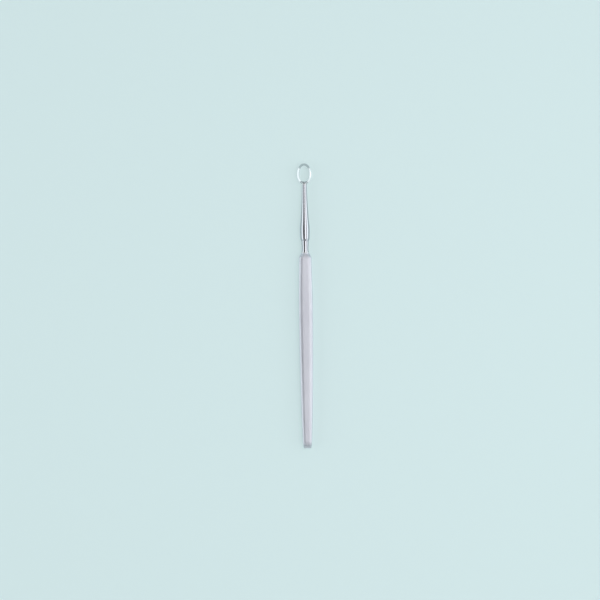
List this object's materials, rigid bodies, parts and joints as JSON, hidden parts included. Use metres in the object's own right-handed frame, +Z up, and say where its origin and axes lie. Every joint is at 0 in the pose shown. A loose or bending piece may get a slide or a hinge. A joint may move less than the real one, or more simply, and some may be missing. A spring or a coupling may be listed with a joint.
{
  "type": "dermal curette",
  "caption": "Stainless dermal curette: an oval cutting ring with a ground edge, a slim turned neck and a hollow flat handle that tapers to a sloping tail.",
  "frame": {"origin": "on the surface that the tool lies on, under the middle of its length and width", "axes": "+Y along the tool from the tail to the ring, +Z up through the broad faces with the cutting edge up, +X across the broad faces"},
  "size_m": [0.007, 0.14, 0.005],
  "materials": {
    "ground_steel": "fine ground and polished stainless steel",
    "polished_steel": "mirror polished stainless steel",
    "satin_steel": "satin stainless steel",
    "inner_steel": "plain turned stainless steel"
  },
  "bodies": {
    "root": {"cutting_ring": "ground_steel", "neck": "polished_steel", "front_bush": "inner_steel", "handle_upper_shell": "satin_steel", "handle_lower_shell": "satin_steel", "tail_plug": "satin_steel"}
  },
  "joints": []
}
